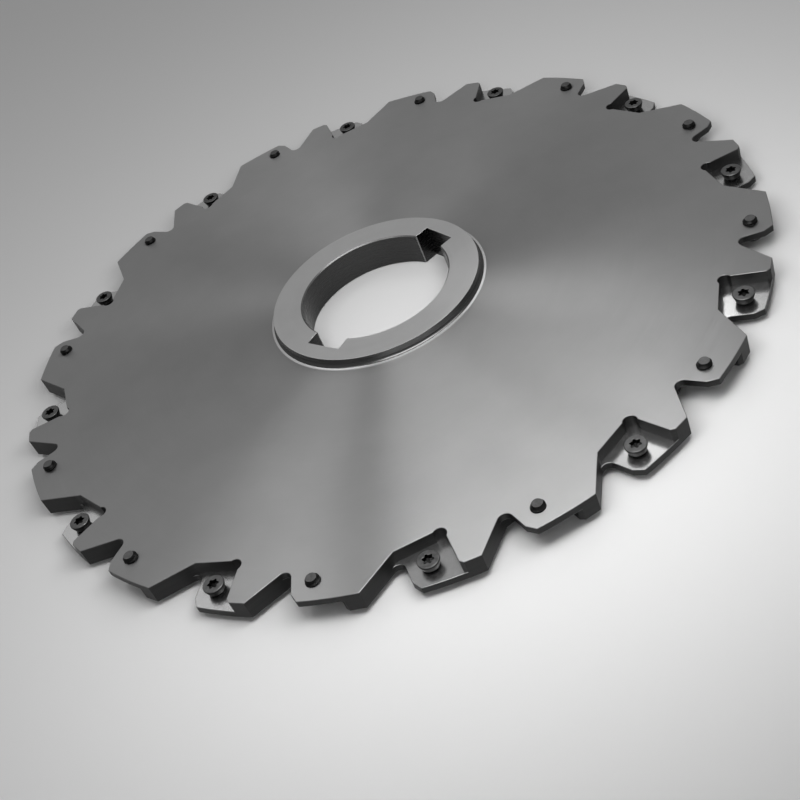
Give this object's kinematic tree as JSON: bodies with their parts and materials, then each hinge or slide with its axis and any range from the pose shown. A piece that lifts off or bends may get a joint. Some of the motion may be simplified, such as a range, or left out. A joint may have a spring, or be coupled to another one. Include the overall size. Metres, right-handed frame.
{
  "type": "side and face milling cutter",
  "caption": "Disc milling cutter body for an arbor, with a keyed bore, a raised hub and staggered insert pockets round the rim, each holding its insert screw.",
  "frame": {"origin": "on the bore axis, in the plane of the back hub face that the cutter lies on", "axes": "+Z along the arbor from the back hub face to the front hub face, +X through the middle of keyway 1"},
  "size_m": [0.198, 0.198, 0.009],
  "materials": {
    "ground_steel": "turned and ground bare steel, circular grain, polished pocket floors",
    "black_oxide_steel": "black oxide, satin"
  },
  "bodies": {
    "cutter_body": {"cutter_body": "ground_steel"},
    "back_screw_01": {"back_screw_01": "black_oxide_steel"},
    "back_screw_02": {"back_screw_02": "black_oxide_steel"},
    "back_screw_03": {"back_screw_03": "black_oxide_steel"},
    "back_screw_04": {"back_screw_04": "black_oxide_steel"},
    "back_screw_05": {"back_screw_05": "black_oxide_steel"},
    "back_screw_06": {"back_screw_06": "black_oxide_steel"},
    "back_screw_07": {"back_screw_07": "black_oxide_steel"},
    "back_screw_08": {"back_screw_08": "black_oxide_steel"},
    "back_screw_09": {"back_screw_09": "black_oxide_steel"},
    "back_screw_10": {"back_screw_10": "black_oxide_steel"},
    "back_screw_11": {"back_screw_11": "black_oxide_steel"},
    "back_screw_12": {"back_screw_12": "black_oxide_steel"},
    "front_screw_01": {"front_screw_01": "black_oxide_steel"},
    "front_screw_02": {"front_screw_02": "black_oxide_steel"},
    "front_screw_03": {"front_screw_03": "black_oxide_steel"},
    "front_screw_04": {"front_screw_04": "black_oxide_steel"},
    "front_screw_05": {"front_screw_05": "black_oxide_steel"},
    "front_screw_06": {"front_screw_06": "black_oxide_steel"},
    "front_screw_07": {"front_screw_07": "black_oxide_steel"},
    "front_screw_08": {"front_screw_08": "black_oxide_steel"},
    "front_screw_09": {"front_screw_09": "black_oxide_steel"},
    "front_screw_10": {"front_screw_10": "black_oxide_steel"},
    "front_screw_11": {"front_screw_11": "black_oxide_steel"},
    "front_screw_12": {"front_screw_12": "black_oxide_steel"}
  },
  "joints": [
    {"name": "back_screw_01_travel", "type": "slide", "parent": "cutter_body", "child": "back_screw_01", "axis": [0, 0, -1], "range_m": [-0.0004, 0.0024]},
    {"name": "back_screw_02_travel", "type": "slide", "parent": "cutter_body", "child": "back_screw_02", "axis": [0, 0, -1], "range_m": [-0.0004, 0.0024]},
    {"name": "back_screw_03_travel", "type": "slide", "parent": "cutter_body", "child": "back_screw_03", "axis": [0, 0, -1], "range_m": [-0.0004, 0.0024]},
    {"name": "back_screw_04_travel", "type": "slide", "parent": "cutter_body", "child": "back_screw_04", "axis": [0, 0, -1], "range_m": [-0.0004, 0.0024]},
    {"name": "back_screw_05_travel", "type": "slide", "parent": "cutter_body", "child": "back_screw_05", "axis": [0, 0, -1], "range_m": [-0.0004, 0.0024]},
    {"name": "back_screw_06_travel", "type": "slide", "parent": "cutter_body", "child": "back_screw_06", "axis": [0, 0, -1], "range_m": [-0.0004, 0.0024]},
    {"name": "back_screw_07_travel", "type": "slide", "parent": "cutter_body", "child": "back_screw_07", "axis": [0, 0, -1], "range_m": [-0.0004, 0.0024]},
    {"name": "back_screw_08_travel", "type": "slide", "parent": "cutter_body", "child": "back_screw_08", "axis": [0, 0, -1], "range_m": [-0.0004, 0.0024]},
    {"name": "back_screw_09_travel", "type": "slide", "parent": "cutter_body", "child": "back_screw_09", "axis": [0, 0, -1], "range_m": [-0.0004, 0.0024]},
    {"name": "back_screw_10_travel", "type": "slide", "parent": "cutter_body", "child": "back_screw_10", "axis": [0, 0, -1], "range_m": [-0.0004, 0.0024]},
    {"name": "back_screw_11_travel", "type": "slide", "parent": "cutter_body", "child": "back_screw_11", "axis": [0, 0, -1], "range_m": [-0.0004, 0.0024]},
    {"name": "back_screw_12_travel", "type": "slide", "parent": "cutter_body", "child": "back_screw_12", "axis": [0, 0, -1], "range_m": [-0.0004, 0.0024]},
    {"name": "front_screw_01_travel", "type": "slide", "parent": "cutter_body", "child": "front_screw_01", "axis": [0, 0, 1], "range_m": [-0.0004, 0.0024]},
    {"name": "front_screw_02_travel", "type": "slide", "parent": "cutter_body", "child": "front_screw_02", "axis": [0, 0, 1], "range_m": [-0.0004, 0.0024]},
    {"name": "front_screw_03_travel", "type": "slide", "parent": "cutter_body", "child": "front_screw_03", "axis": [0, 0, 1], "range_m": [-0.0004, 0.0024]},
    {"name": "front_screw_04_travel", "type": "slide", "parent": "cutter_body", "child": "front_screw_04", "axis": [0, 0, 1], "range_m": [-0.0004, 0.0024]},
    {"name": "front_screw_05_travel", "type": "slide", "parent": "cutter_body", "child": "front_screw_05", "axis": [0, 0, 1], "range_m": [-0.0004, 0.0024]},
    {"name": "front_screw_06_travel", "type": "slide", "parent": "cutter_body", "child": "front_screw_06", "axis": [0, 0, 1], "range_m": [-0.0004, 0.0024]},
    {"name": "front_screw_07_travel", "type": "slide", "parent": "cutter_body", "child": "front_screw_07", "axis": [0, 0, 1], "range_m": [-0.0004, 0.0024]},
    {"name": "front_screw_08_travel", "type": "slide", "parent": "cutter_body", "child": "front_screw_08", "axis": [0, 0, 1], "range_m": [-0.0004, 0.0024]},
    {"name": "front_screw_09_travel", "type": "slide", "parent": "cutter_body", "child": "front_screw_09", "axis": [0, 0, 1], "range_m": [-0.0004, 0.0024]},
    {"name": "front_screw_10_travel", "type": "slide", "parent": "cutter_body", "child": "front_screw_10", "axis": [0, 0, 1], "range_m": [-0.0004, 0.0024]},
    {"name": "front_screw_11_travel", "type": "slide", "parent": "cutter_body", "child": "front_screw_11", "axis": [0, 0, 1], "range_m": [-0.0004, 0.0024]},
    {"name": "front_screw_12_travel", "type": "slide", "parent": "cutter_body", "child": "front_screw_12", "axis": [0, 0, 1], "range_m": [-0.0004, 0.0024]}
  ]
}
